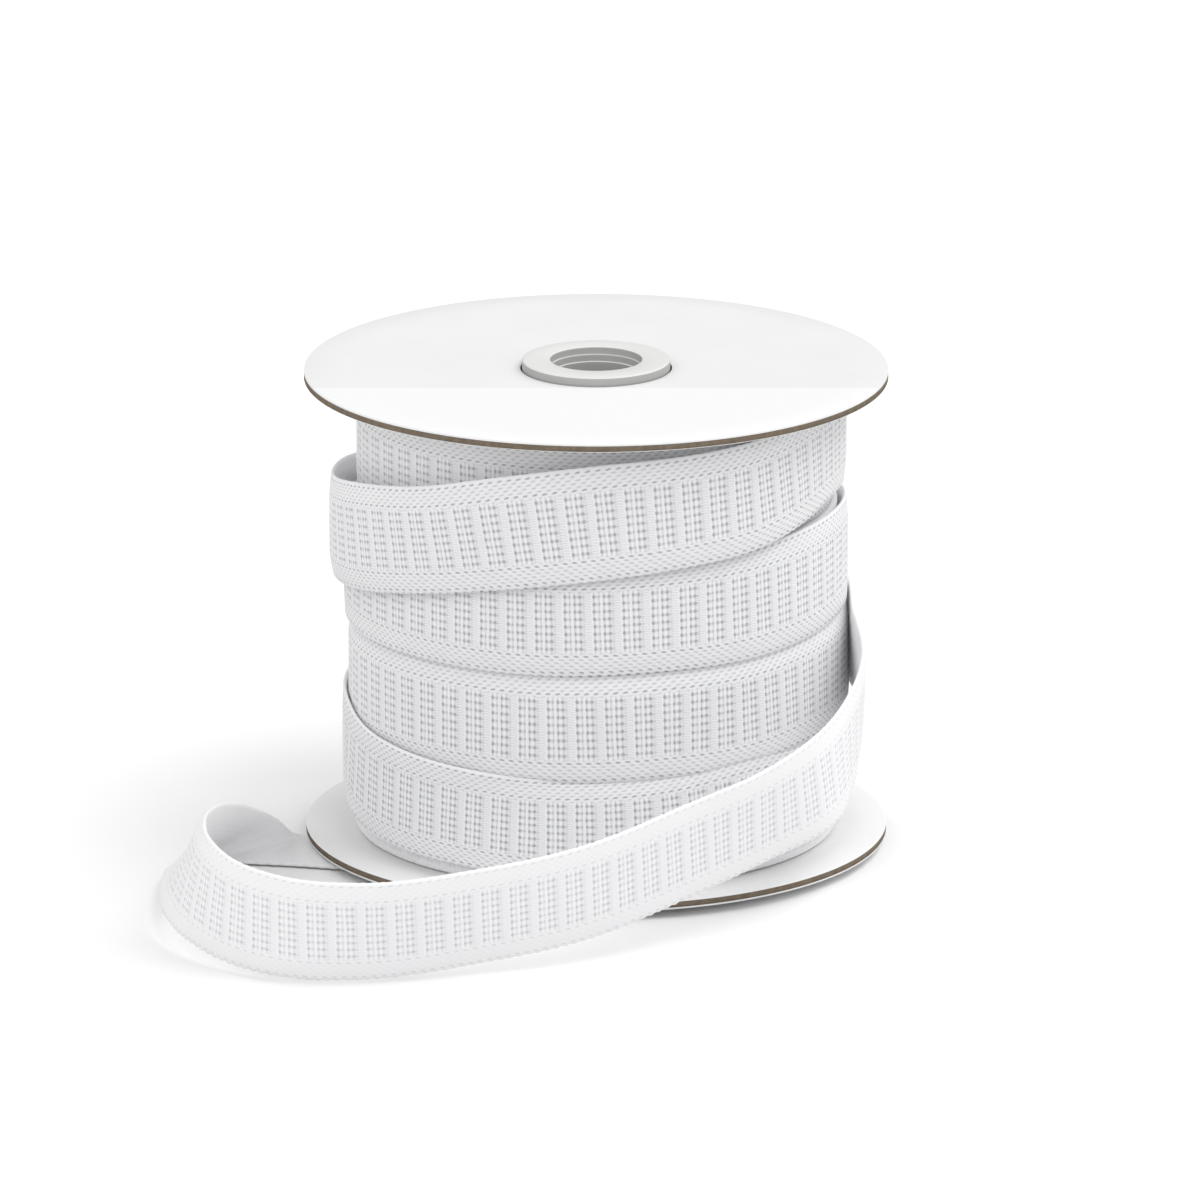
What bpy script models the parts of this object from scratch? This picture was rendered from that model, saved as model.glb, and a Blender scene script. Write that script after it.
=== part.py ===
"""Spool of braided elastic: two card flanges, a hub tube, the wound roll and its loose end.

World frame: metres, +Z up, floor at z = 0, the front of the spool faces -Y.
The origin is the middle of the whole object's footprint, so the spool's axis stands off it.
"""

import math

import bmesh
import bpy
import numpy as np

MM = 0.001

# Spool (mm): both flanges are 4 inch card discs on a plastic tube with a low collar at each end.
SPOOL_X = 12.27
SPOOL_Y = 20.44
FLANGE_RADIUS = 50.8
FLANGE_THICKNESS = 1.5
FLANGE_GAP = 80.5
COLLAR_PROUD = 1.6
HUB_RADIUS = 12.9
BORE_RADIUS = 7.6
CLEARANCE = 0.3
EDGE_ROUND = 0.25

# Heights that follow from the sizes above (mm).
BOTTOM_FACE = COLLAR_PROUD + FLANGE_THICKNESS
TOP_FACE = BOTTOM_FACE + FLANGE_GAP
OVERALL_HEIGHT = TOP_FACE + FLANGE_THICKNESS + COLLAR_PROUD

# Facet counts.
DISC_STEPS = 120
ROLL_STEPS = 96
HUB_STEPS = 64

# Strap (mm).
STRAP_WIDTH = 19.0
STRAP_THICKNESS = 1.2
STRAP_STEP = 4.6

# Edges of the wound bands round the roll: angle from the front in degrees (+ = right), heights in mm.
# low_top is the upper edge of the lowest band, groove the soft line above it, mid_top the upper
# edge of the middle band, ledge the radius of the layer above that edge and mid the radius of the
# middle band itself.
BAND_EDGES = (
    # angle, low_top, groove, mid_top, ledge, mid
    (-180.0, 30.5, 42.5, 60.0, 41.9, 43.9),
    (-120.0, 30.0, 42.0, 59.5, 41.7, 43.9),
    (-80.0, 27.5, 41.0, 59.5, 41.7, 43.9),
    (-52.0, 24.2, 41.0, 60.0, 41.7, 43.9),
    (-13.0, 22.8, 41.0, 60.5, 41.8, 43.9),
    (15.0, 23.9, 41.6, 61.0, 41.9, 43.9),
    (36.0, 25.9, 41.9, 62.0, 41.9, 43.9),
    (56.0, 25.7, 43.5, 62.9, 41.7, 43.8),
    (80.0, 26.6, 43.7, 65.6, 41.5, 43.4),
    (100.0, 26.8, 43.6, 65.0, 41.6, 43.2),
    (120.0, 28.0, 43.5, 64.0, 41.7, 43.6),
    (180.0, 30.5, 42.5, 60.0, 41.9, 43.9),
)
LOW_BAND_FOOT = 6.2
LOW_BAND_RADIUS = 44.3
UNDER_RADIUS = 42.2
ROLL_BORE = 14.0

# The last turn of strap on the roll: angle from the front in degrees, radius of its middle face,
# height of its lower edge and of its upper edge (mm).
WRAP = (
    # angle, radius, low edge, high edge
    (101.0, 42.9, 65.8, 83.0),
    (84.0, 43.0, 66.0, 83.0),
    (67.0, 43.4, 66.0, 83.0),
    (53.0, 44.0, 64.0, 82.8),
    (38.0, 44.8, 62.1, 81.6),
    (20.0, 44.9, 60.8, 80.7),
    (0.0, 45.0, 59.2, 79.7),
    (-20.0, 45.3, 57.0, 77.2),
    (-42.0, 45.8, 53.9, 73.1),
    (-64.0, 46.0, 50.7, 70.0),
    (-86.0, 46.0, 48.6, 66.9),
    (-110.0, 46.0, 46.2, 65.2),
    (-134.0, 45.8, 43.2, 62.3),
    (-158.0, 45.6, 40.0, 59.1),
    (-182.0, 45.5, 37.0, 56.1),
    (-206.0, 45.5, 34.3, 53.3),
    (-230.0, 45.4, 31.7, 50.6),
    (-248.0, 45.0, 29.8, 48.6),
    (-264.0, 44.5, 28.2, 46.9),
)

# The end that hangs free: the lower edge's place from the spool's axis, then how far the upper edge
# leans from it. The rows run from the right of the roll, round the front and the curl at the left,
# to the cut end that lies flat under the lower flange (mm).
DRAPE = (
    # foot x, foot y, foot z, lean x, lean y
    (45.3, -3.7, 27.4, -0.9, -5.2),
    (44.8, -18.3, 23.2, 1.2, -5.1),
    (43.9, -32.7, 19.4, -0.2, -4.8),
    (40.7, -46.3, 15.8, -2.3, -4.5),
    (29.1, -56.1, 12.4, -0.4, -5.9),
    (17.3, -64.7, 9.2, -0.9, -5.6),
    (-2.6, -76.9, 4.5, -0.5, -5.2),
    (-20.1, -82.6, 2.3, -0.5, -5.3),
    (-39.1, -86.7, 0.8, -0.5, -4.6),
    (-51.2, -85.9, 0.7, -0.2, -3.2),
    (-61.7, -80.6, 1.5, 1.0, -1.9),
    (-69.5, -71.6, 2.9, 3.7, -0.6),
    (-73.9, -60.1, 4.0, 7.1, 0.3),
    (-75.1, -47.5, 4.0, 10.3, 0.6),
    (-75.0, -35.3, 3.0, 13.6, 1.2),
    (-74.2, -25.1, 1.7, 16.1, 3.6),
    (-71.3, -19.1, 0.8, 16.0, 8.8),
    (-64.2, -17.8, 0.6, 11.9, 14.8),
    (-52.5, -19.4, 0.6, 5.5, 18.2),
    (-44.9, -21.2, 0.6, 2.9, 18.8),
    (-37.5, -22.9, 0.6, 3.6, 18.7),
    (-30.0, -24.6, 0.6, 4.2, 18.55),
)


def clear_scene() -> None:
    """Removes whatever the scene starts with."""
    for obj in list(bpy.data.objects):
        bpy.data.objects.remove(obj, do_unlink=True)


def make_material(name: str, colour: tuple, roughness: float) -> bpy.types.Material:
    """Makes a plain Principled material."""
    material = bpy.data.materials.new(name)
    material.use_nodes = True
    shader = material.node_tree.nodes["Principled BSDF"]
    shader.inputs["Base Color"].default_value = (*colour, 1.0)
    shader.inputs["Roughness"].default_value = roughness
    return material


def link_mesh(name: str, mesh: bmesh.types.BMesh, material: bpy.types.Material) -> bpy.types.Object:
    """Turns a finished mesh in millimetres about the spool's axis into a named object."""
    bmesh.ops.recalc_face_normals(mesh, faces=mesh.faces)
    for vertex in mesh.verts:
        vertex.co.x = (vertex.co.x + SPOOL_X) * MM
        vertex.co.y = (vertex.co.y + SPOOL_Y) * MM
        vertex.co.z = vertex.co.z * MM
    data = bpy.data.meshes.new(name)
    mesh.to_mesh(data)
    mesh.free()
    data.materials.append(material)
    obj = bpy.data.objects.new(name, data)
    bpy.context.scene.collection.objects.link(obj)
    return obj


def skin_rings(rings: list, close_ends: bool) -> bmesh.types.BMesh:
    """Joins a row of closed rings of points with quads.

    With close_ends false the last ring joins the first, which makes a closed ring-shaped body.
    """
    mesh = bmesh.new()
    rows = []
    for ring in rings:
        row = []
        for point in ring:
            row.append(mesh.verts.new(point))
        rows.append(row)
    pairs = list(zip(rows[:-1], rows[1:]))
    if not close_ends:
        pairs.append((rows[-1], rows[0]))
    for low, high in pairs:
        for index in range(len(low)):
            after = (index + 1) % len(low)
            mesh.faces.new((low[index], low[after], high[after], high[index]))
    if close_ends:
        mesh.faces.new(list(reversed(rows[0])))
        mesh.faces.new(rows[-1])
    return mesh


def turned(profile: tuple, steps: int) -> bmesh.types.BMesh:
    """Spins a closed profile of (radius, height) points about the spool's axis."""
    rings = []
    for step in range(steps):
        angle = 2.0 * math.pi * step / steps
        ring = []
        for radius, height in profile:
            ring.append((radius * math.sin(angle), -radius * math.cos(angle), height))
        rings.append(ring)
    return skin_rings(rings, close_ends=False)


def build_flange(name: str, floor: float, material: bpy.types.Material) -> bpy.types.Object:
    """A card disc with a hole for the hub and slightly eased edges."""
    top = floor + FLANGE_THICKNESS
    hole = HUB_RADIUS + CLEARANCE
    profile = (
        (hole, floor),
        (FLANGE_RADIUS - EDGE_ROUND, floor),
        (FLANGE_RADIUS, floor + EDGE_ROUND),
        (FLANGE_RADIUS, top - EDGE_ROUND),
        (FLANGE_RADIUS - EDGE_ROUND, top),
        (hole, top),
    )
    return link_mesh(name, turned(profile, DISC_STEPS), material)


def build_hub(material: bpy.types.Material) -> bpy.types.Object:
    """The plastic tube through both flanges, with its eased collar at each end."""
    ease = 0.5
    mouth = 0.6
    profile = (
        (BORE_RADIUS + mouth, 0.0),
        (HUB_RADIUS - ease, 0.0),
        (HUB_RADIUS - ease * 0.3, ease * 0.3),
        (HUB_RADIUS, ease),
        (HUB_RADIUS, OVERALL_HEIGHT - ease),
        (HUB_RADIUS - ease * 0.3, OVERALL_HEIGHT - ease * 0.3),
        (HUB_RADIUS - ease, OVERALL_HEIGHT),
        (BORE_RADIUS + mouth, OVERALL_HEIGHT),
        (BORE_RADIUS, OVERALL_HEIGHT - mouth),
        (BORE_RADIUS, mouth),
    )
    return link_mesh("hub", turned(profile, HUB_STEPS), material)


def band_edges_at(angle: float) -> tuple:
    """The heights of the band edges and the radii beside them at one angle round the roll."""
    table = np.array(BAND_EDGES)
    angles = table[:, 0]
    values = []
    for column in range(1, table.shape[1]):
        values.append(float(np.interp(angle, angles, table[:, column])))
    return tuple(values)


def roll_profile(angle: float) -> list:
    """The roll's section at one angle: a closed row of (radius, height) points."""
    low_top, groove, mid_top, ledge, mid = band_edges_at(angle)
    floor = BOTTOM_FACE + CLEARANCE
    roof = TOP_FACE - CLEARANCE
    low = LOW_BAND_RADIUS
    return [
        (ROLL_BORE, floor),
        (UNDER_RADIUS, floor),
        (UNDER_RADIUS, LOW_BAND_FOOT - 0.2),
        (low - 0.5, LOW_BAND_FOOT),
        (low, LOW_BAND_FOOT + 0.7),
        (low - 0.1, 0.5 * (LOW_BAND_FOOT + low_top)),
        (low, low_top - 0.6),
        (low - 0.4, low_top),
        (mid - 0.9, low_top + 0.3),
        (mid - 0.2, low_top + 4.0),
        (mid, groove - 2.5),
        (mid - 0.6, groove),
        (mid, groove + 1.0),
        (mid + 0.1, 0.5 * (groove + mid_top)),
        (mid, mid_top - 0.7),
        (mid - 0.5, mid_top),
        (ledge, mid_top + 0.4),
        (ledge, 0.5 * (mid_top + roof)),
        (ledge, roof),
        (ROLL_BORE, roof),
    ]


def build_roll(material: bpy.types.Material) -> bpy.types.Object:
    """The wound mass of strap between the flanges, with its four bands on the outside."""
    rings = []
    for step in range(ROLL_STEPS):
        turn = 360.0 * step / ROLL_STEPS - 180.0
        angle = math.radians(turn)
        ring = []
        for radius, height in roll_profile(turn):
            ring.append((radius * math.sin(angle), -radius * math.cos(angle), height))
        rings.append(ring)
    return link_mesh("roll", skin_rings(rings, close_ends=False), material)


def strap_rows() -> np.ndarray:
    """The strap's two edges, row by row: lower edge x, y, z and upper edge x, y, z."""
    rows = []
    for turn, radius, low, high in WRAP:
        angle = math.radians(turn)
        x = radius * math.sin(angle)
        y = -radius * math.cos(angle)
        rows.append((x, y, low, x, y, high))
    for foot_x, foot_y, foot_z, lean_x, lean_y in DRAPE:
        rise = math.sqrt(max(STRAP_WIDTH**2 - lean_x**2 - lean_y**2, 0.0))
        rows.append((foot_x, foot_y, foot_z, foot_x + lean_x, foot_y + lean_y, foot_z + rise))
    return np.array(rows)


def smooth_rows(rows: np.ndarray, step: float) -> np.ndarray:
    """A curve through all rows, cut into pieces of about one step."""
    middle = 0.5 * (rows[:, :3] + rows[:, 3:])
    gaps = np.linalg.norm(np.diff(middle, axis=0), axis=1)
    along = np.concatenate([[0.0], np.cumsum(gaps)])
    slopes = np.empty_like(rows)
    slopes[0] = (rows[1] - rows[0]) / gaps[0]
    slopes[-1] = (rows[-1] - rows[-2]) / gaps[-1]
    for index in range(1, len(rows) - 1):
        before = (rows[index] - rows[index - 1]) / gaps[index - 1]
        after = (rows[index + 1] - rows[index]) / gaps[index]
        share = gaps[index] / (gaps[index - 1] + gaps[index])
        slopes[index] = share * before + (1.0 - share) * after
    pieces = []
    for index, gap in enumerate(gaps):
        count = max(2, round(gap / step))
        for part in range(count):
            u = part / count
            pieces.append(
                (2 * u**3 - 3 * u**2 + 1) * rows[index]
                + (u**3 - 2 * u**2 + u) * gap * slopes[index]
                + (3 * u**2 - 2 * u**3) * rows[index + 1]
                + (u**3 - u**2) * gap * slopes[index + 1]
            )
    pieces.append(rows[-1])
    assert along[-1] > 0.0
    return np.array(pieces)


def strap_ring(low: np.ndarray, high: np.ndarray, travel: np.ndarray) -> list:
    """One section of the strap: a flat band with rounded edges."""
    across = high - low
    width = np.linalg.norm(across)
    across = across / width
    normal = np.cross(travel, across)
    normal = normal / np.linalg.norm(normal)
    half = 0.5 * STRAP_THICKNESS
    outline = (
        # share of the width from the lower edge, share of the half thickness
        (0.0, 0.0),
        (0.02, 0.8),
        (0.06, 1.0),
        (0.5, 1.0),
        (0.94, 1.0),
        (0.98, 0.8),
        (1.0, 0.0),
        (0.98, -0.8),
        (0.94, -1.0),
        (0.5, -1.0),
        (0.06, -1.0),
        (0.02, -0.8),
    )
    ring = []
    for share, side in outline:
        point = low + across * width * share + normal * half * side
        point[2] = max(point[2], 0.0)
        ring.append(tuple(point))
    return ring


def build_loose_end(material: bpy.types.Material) -> bpy.types.Object:
    """The last turn of the strap and the end that hangs free of the roll, one strip."""
    line = smooth_rows(strap_rows(), STRAP_STEP)
    middle = 0.5 * (line[:, :3] + line[:, 3:])
    rings = []
    for index, row in enumerate(line):
        before = middle[max(index - 1, 0)]
        after = middle[min(index + 1, len(line) - 1)]
        rings.append(strap_ring(row[:3], row[3:], after - before))
    return link_mesh("loose_end", skin_rings(rings, close_ends=True), material)


def main() -> None:
    """Builds the spool from the floor up."""
    clear_scene()
    card = make_material("flange_card", (0.88, 0.88, 0.88), 0.55)
    plastic = make_material("hub_plastic", (0.74, 0.73, 0.71), 0.4)
    elastic = make_material("elastic", (0.80, 0.80, 0.83), 0.85)
    build_hub(plastic)
    build_flange("flange_bottom", COLLAR_PROUD, card)
    build_flange("flange_top", TOP_FACE, card)
    build_roll(elastic)
    build_loose_end(elastic)


if __name__ == "__main__":
    main()
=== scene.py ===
"""Looks of a standing spool of wide white braided elastic.

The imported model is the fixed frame. Round it this script builds the card flanges with their paper
and board layers, the moulded hub, and the elastic: an older closed turn and then one long strap,
wound three times round the roll before its last turn, whose free end leaves the roll at the right,
comes round the front, curls at the left and lies on the floor under the lower flange. Sizes are in
millimetres about the spool's axis, unless a name or comment says otherwise.
"""

import logging
import math
from dataclasses import dataclass
from dataclasses import field
from enum import Enum

import bmesh
import bpy
import numpy as np
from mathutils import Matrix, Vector


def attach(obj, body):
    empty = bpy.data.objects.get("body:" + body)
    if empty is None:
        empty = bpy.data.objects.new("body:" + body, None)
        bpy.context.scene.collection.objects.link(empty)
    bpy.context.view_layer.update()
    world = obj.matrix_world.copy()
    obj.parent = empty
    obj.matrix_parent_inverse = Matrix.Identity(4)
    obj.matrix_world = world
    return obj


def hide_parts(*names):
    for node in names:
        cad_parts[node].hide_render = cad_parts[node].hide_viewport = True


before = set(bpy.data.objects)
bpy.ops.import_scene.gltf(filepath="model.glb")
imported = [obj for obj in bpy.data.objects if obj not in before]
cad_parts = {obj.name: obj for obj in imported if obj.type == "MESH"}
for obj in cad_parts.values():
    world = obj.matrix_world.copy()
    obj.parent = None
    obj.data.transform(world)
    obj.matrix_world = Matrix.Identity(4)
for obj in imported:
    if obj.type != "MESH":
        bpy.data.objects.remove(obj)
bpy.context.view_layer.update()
LOG = logging.getLogger("spool")

MM = 0.001
BODY = "root"

# The spool (mm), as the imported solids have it.
SPOOL_X = 12.27
SPOOL_Y = 20.44
FLANGE_RADIUS = 50.8
FLANGE_THICKNESS = 1.5
FLANGE_GAP = 80.5
COLLAR_PROUD = 1.6
HUB_RADIUS = 12.9
HOLE_CLEARANCE = 0.3
# The printed zone's straight rear edge lies this far in front of the axis.
PRINT_LINE = 13.61
# Points of a mesh that are nearer than this are one point.
MERGE_DISTANCE = 0.0005
BOTTOM_FACE = COLLAR_PROUD + FLANGE_THICKNESS
TOP_FACE = BOTTOM_FACE + FLANGE_GAP
OVERALL_HEIGHT = TOP_FACE + FLANGE_THICKNESS + COLLAR_PROUD

# The strap (mm).
STRAP_WIDTH = 19.0
STRAP_THICKNESS = 1.2

# The weave (mm): one repeat is six columns, four of small holes and a closed rib two columns wide.
REPEAT = 5.0
COLUMNS = 6.0
COLUMN = REPEAT / COLUMNS
ROW = 1.32
PANEL_HALF = 5.4
# The closed rib's middle and half width, in columns.
RIB_MIDDLE = 5.05
RIB_HALF = 0.95
# The middle of the open columns, in columns; they reach as far to each side.
OPEN_MIDDLE = 2.35
INNER_DOTS = 4.5 * ROW
TWILL_STEP = 0.57
OUTER_DOTS = INNER_DOTS + 5.0 * TWILL_STEP
EDGE_DOTS = 2.0 * COLUMN
SAMPLES_PER_REPEAT = 18
SAMPLE = REPEAT / SAMPLES_PER_REPEAT
HOLE_COLUMNS = (
    # middle in columns, half width, half height (mm), depth
    (0.5, 0.30, 0.40, 1.0),
    (1.5, 0.17, 0.36, 0.72),
    (2.5, 0.27, 0.40, 0.95),
    (3.6, 0.36, 0.36, 0.95),
)

# The wound turns, in the order in which the strap was wound: angle from the front in degrees
# (+ = right, and it falls as the strap goes on), radius of the strap's middle, heights of its two
# edges, and how far each edge is pressed in (-) or stands out (+).
LOW_TURN = (
    # angle, radius, low edge, high edge, low tuck, high tuck
    (300, 42.3, 8.4, 27.4, 0, 0),
    (275, 42.4, 8.2, 27.2, 0, 0),
    (255, 42.5, 7.2, 26.2, 0, -0.2),
    (235, 42.6, 6.4, 25.4, 0, -0.4),
    (205, 42.9, 6.3, 25.4, 0, -0.6),
    (180, 43.3, 6.2, 25.4, 0, -0.7),
    (130, 43.5, 6.8, 26, 0.1, -0.7),
    (80, 43.6, 7.2, 26.4, 0.1, -0.9),
    (56, 43.7, 6.6, 25.9, 0.1, -0.7),
    (36, 43.7, 6.7, 26.1, 0.1, -0.7),
    (15, 43.7, 5.5, 24.2, 0.1, -0.7),
    (0, 43.7, 5.3, 23.4, 0.1, -0.6),
    (-13, 43.7, 5.5, 23.1, 0.1, -0.3),
    (-33, 43.7, 6, 23.6, 0.1, 0.2),
    (-52, 43.7, 6.3, 24.5, 0.1, 0.4),
    (-70, 43.7, 7, 26, 0.1, 0.4),
    (-80, 43.7, 8.2, 27.5, 0.1, 0.3),
    (-100, 43.8, 9.6, 28.6, 0, 0.3),
    (-120, 43.9, 11.2, 30.4, 0, 0.2),
    (-150, 43.8, 13.4, 32.6, 0, 0.1),
)
MIDDLE_TURN = (
    (180, 43.6, 15.6, 35.1, 0.2, -0.9),
    (155, 43.5, 18.6, 38.2, 0.3, -0.9),
    (130, 43.4, 21.4, 41.1, 0.3, -0.9),
    (105, 43.5, 23.6, 43.3, 0.2, -0.6),
    (80, 43.6, 24.5, 44.5, 0.1, -0.6),
    (56, 43.3, 24.4, 43.7, 0.3, -0.9),
    (36, 43.3, 23.2, 43, 0.3, -0.9),
    (15, 43.3, 22.9, 42.8, 0.2, -0.9),
    (-13, 43.3, 22.3, 42.2, 0, -0.9),
    (-33, 43.1, 22.2, 42.2, -0.5, -0.9),
    (-60, 42.8, 22, 42.1, -0.7, -0.9),
    (-80, 42.7, 21.9, 42, -0.6, -0.8),
    (-95, 42.7, 22.2, 42.3, -0.6, -0.8),
    (-120, 42.9, 25, 45, -0.4, -0.8),
    (-150, 43.2, 29.8, 49.5, -0.1, -0.9),
)
UPPER_TURN = (
    (180, 43.3, 34.8, 54, 0.1, -0.5),
    (155, 43.3, 37.8, 57, 0.2, 0),
    (130, 43.3, 40.6, 59.8, 0.2, 0),
    (105, 43.3, 42.8, 62, 0.2, 0),
    (80, 43.3, 43.9, 63.1, 0.2, 0),
    (56, 43.3, 43, 62.9, 0.2, 0),
    (36, 43.3, 42.3, 62.1, 0.2, -0.2),
    (15, 43.3, 42.2, 61.4, 0.2, -0.4),
    (-13, 43.3, 41.6, 60.8, 0.2, -0.4),
    (-52, 43.3, 41.6, 60.8, 0.2, -0.2),
    (-80, 43.4, 41.5, 60.7, 0.2, -0.1),
    (-95, 43.4, 41.8, 61, 0.2, 0),
    (-120, 43.3, 44.5, 63.6, 0.2, 0),
    (-150, 43.3, 49, 68.2, 0.1, 0),
)
LAST_TURN = (
    (180, 43.3, 54, 73.2, 0, 0),
    (150, 43.2, 59.2, 77.8, 0, 0),
    (125, 43, 63.6, 81.6, 0, 0),
    (101, 42.9, 65.8, 83, 0, 0),
    (84, 43, 66, 83, 0, 0),
    (67, 43.4, 66, 83, 0, 0),
    (53, 44, 64, 82.8, 0, 0),
    (38, 44.8, 62.1, 81.6, 0, 0),
    (20, 44.9, 60.8, 80.7, 0, 0),
    (0, 45, 59.2, 79.7, 0, 0),
    (-20, 45.3, 57, 77.2, 0, 0),
    (-42, 45.8, 53.9, 73.1, -0.1, 0),
    (-64, 46, 50.7, 70, -0.3, 0),
    (-86, 45.9, 48.6, 66.9, -0.35, 0),
    (-110, 45.9, 46.2, 65.2, -0.3, 0),
    (-134, 45.8, 43.2, 62.3, -0.1, 0),
    (-158, 45.6, 40, 59.1, 0, 0),
    (-182, 45.5, 37, 56.1, 0, 0),
    (-206, 45.5, 34.3, 53.3, 0, 0),
    (-230, 45.4, 31.7, 50.6, 0, 0),
    (-248, 44.8, 29.3, 48, 0, 0),
    (-264, 44.5, 27.2, 45.6, 0, 0),
)

# The free end: the lower edge's place, then how far the upper edge leans from it (mm).
FREE_END = (
    # foot x, foot y, foot z, lean x, lean y
    (45.6, -3.7, 26.4, -0.9, -5.2),
    (45.7, -18.3, 22.7, 0.6, -5.2),
    (44.3, -32.7, 19.1, -0.4, -4.9),
    (40.7, -46.3, 15.8, -2.3, -4.5),
    (29.1, -56.1, 12.4, -0.4, -5.9),
    (17.3, -64.7, 9.2, -0.9, -5.6),
    (-2.6, -76.9, 4.5, -0.5, -5.2),
    (-20.1, -82.6, 2.3, -0.5, -5.3),
    (-39.1, -86.7, 0.8, -0.5, -4.6),
    (-51.2, -85.9, 0.7, -0.2, -3.2),
    (-61.7, -80.6, 1.5, 1, -1.9),
    (-69.5, -71.6, 2.9, 3.7, -0.6),
    (-73.9, -60.1, 4, 7.1, 0.3),
    (-75.1, -47.5, 4, 10.3, 0.6),
    (-75, -35.3, 3, 13.6, 1.2),
    (-74.2, -25.1, 1.7, 16.1, 3.6),
    (-71.3, -19.1, 0.8, 16, 8.8),
    (-64.2, -17.8, 0.6, 11.9, 14.8),
    (-52.5, -19.4, 0.6, 5.5, 18.2),
    (-44.9, -21.2, 0.6, 2.9, 18.8),
    (-37.5, -22.9, 0.6, 3.6, 18.7),
    (-30, -24.6, 0.6, 4.2, 18.55),
)

# An older turn, two layers down, that shows above the last one at the left.
OLD_RADIUS = 41.1
OLD_LOW_EDGE = 62.5
OLD_HIGH_EDGE = 81.7


class Slot(Enum):
    """The record's material slots."""

    CARD = "flange_card"
    PLASTIC = "hub_plastic"
    ELASTIC = "elastic"


class Held(Enum):
    """How a length of strap is held."""

    WOUND = "stretched"
    FREE = "draped"


class Side(Enum):
    """Which flange of the spool is meant."""

    BOTTOM = "bottom"
    TOP = "top"


class Wire:
    """A value in a shader graph, on which arithmetic adds Math nodes."""

    def __init__(self, tree: bpy.types.NodeTree, socket: bpy.types.NodeSocket) -> None:
        """Wraps a socket.

        Args:
            tree: The node tree that the socket belongs to.
            socket: The socket that puts the value out.
        """
        self.tree = tree
        self.socket = socket

    def math(self, operation: str, *others: "Wire | float") -> "Wire":
        """Adds a Math node.

        Args:
            operation: The node's operation.
            others: Its further inputs, as wires or plain numbers.

        Returns:
            The node's result.
        """
        node = self.tree.nodes.new("ShaderNodeMath")
        node.operation = operation
        self.tree.links.new(self.socket, node.inputs[0])
        for index, other in enumerate(others, start=1):
            if isinstance(other, Wire):
                self.tree.links.new(other.socket, node.inputs[index])
            else:
                node.inputs[index].default_value = other
        return Wire(self.tree, node.outputs[0])

    def __add__(self, other: "Wire | float") -> "Wire":
        """Sum."""
        return self.math("ADD", other)

    def __sub__(self, other: "Wire | float") -> "Wire":
        """Difference."""
        return self.math("SUBTRACT", other)

    def __mul__(self, other: "Wire | float") -> "Wire":
        """Product."""
        return self.math("MULTIPLY", other)

    def __truediv__(self, other: "Wire | float") -> "Wire":
        """Quotient."""
        return self.math("DIVIDE", other)

    def turned_over(self) -> "Wire":
        """One minus the value."""
        return (self * -1.0) + 1.0

    def size(self) -> "Wire":
        """The value without its sign."""
        return self.math("ABSOLUTE")

    def wave(self, period: float) -> "Wire":
        """A cosine of that period, from -1 to 1."""
        return (self * (2.0 * math.pi / period)).math("COSINE")

    def from_beat(self, period: float, offset: float = 0.0) -> "Wire":
        """Signed distance from the nearest of a row of places, a period apart."""
        shifted = (self - offset) / period + 0.5
        return (shifted.math("FRACT") - 0.5) * period

    def off_beat(self, period: float, offset: float = 0.0) -> "Wire":
        """Distance to the nearest of a row of places, a period apart, the first at the offset."""
        return self.from_beat(period, offset).size()

    def fade(self, start: float, end: float) -> "Wire":
        """Goes smoothly from 0 where the value is start to 1 where it is end."""
        node = self.tree.nodes.new("ShaderNodeMapRange")
        node.interpolation_type = "SMOOTHSTEP"
        self.tree.links.new(self.socket, node.inputs["Value"])
        node.inputs["From Min"].default_value = start
        node.inputs["From Max"].default_value = end
        return Wire(self.tree, node.outputs["Result"])

    def spot(self, other: "Wire", half_width: float, half_height: float) -> "Wire":
        """A soft oval spot: 1 in its middle, 0 outside, from the distances along and across."""
        along = self / half_width
        across = other / half_height
        return (along * along + across * across).math("SQRT").fade(1.25, 0.55)


def new_group(name: str, inputs: tuple, outputs: tuple) -> bpy.types.NodeTree:
    """Makes an empty shader node group with plain float sockets.

    Args:
        name: The group's name.
        inputs: Names of its inputs.
        outputs: Names of its outputs.

    Returns:
        The group, with its input and output nodes in it.
    """
    tree = bpy.data.node_groups.new(name, "ShaderNodeTree")
    for way, labels in (("INPUT", inputs), ("OUTPUT", outputs)):
        for label in labels:
            tree.interface.new_socket(name=label, in_out=way, socket_type="NodeSocketFloat")
    tree.nodes.new("NodeGroupInput")
    tree.nodes.new("NodeGroupOutput")
    return tree


def mottle_group() -> bpy.types.NodeTree:
    """Soft irregular cloudiness, as in card, moulded plastic and cloth.

    Returns:
        A group with inputs X, Y, Z and Scale, and outputs Cloud (0 to 1) and Fine (0 to 1).
    """
    known = bpy.data.node_groups.get("mottle")
    if known is not None:
        return known
    tree = new_group("mottle", ("X", "Y", "Z", "Scale"), ("Cloud", "Fine"))
    given = tree.nodes["Group Input"]
    place = tree.nodes.new("ShaderNodeCombineXYZ")
    for label in ("X", "Y", "Z"):
        tree.links.new(given.outputs[label], place.inputs[label])
    for label, factor, detail in (("Cloud", 1.0, 2.0), ("Fine", 9.0, 4.0)):
        scale = Wire(tree, given.outputs["Scale"]) * factor
        noise = tree.nodes.new("ShaderNodeTexNoise")
        noise.inputs["Detail"].default_value = detail
        noise.inputs["Roughness"].default_value = 0.6
        tree.links.new(place.outputs["Vector"], noise.inputs["Vector"])
        tree.links.new(scale.socket, noise.inputs["Scale"])
        tree.links.new(noise.outputs["Fac"], tree.nodes["Group Output"].inputs[label])
    return tree


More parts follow.
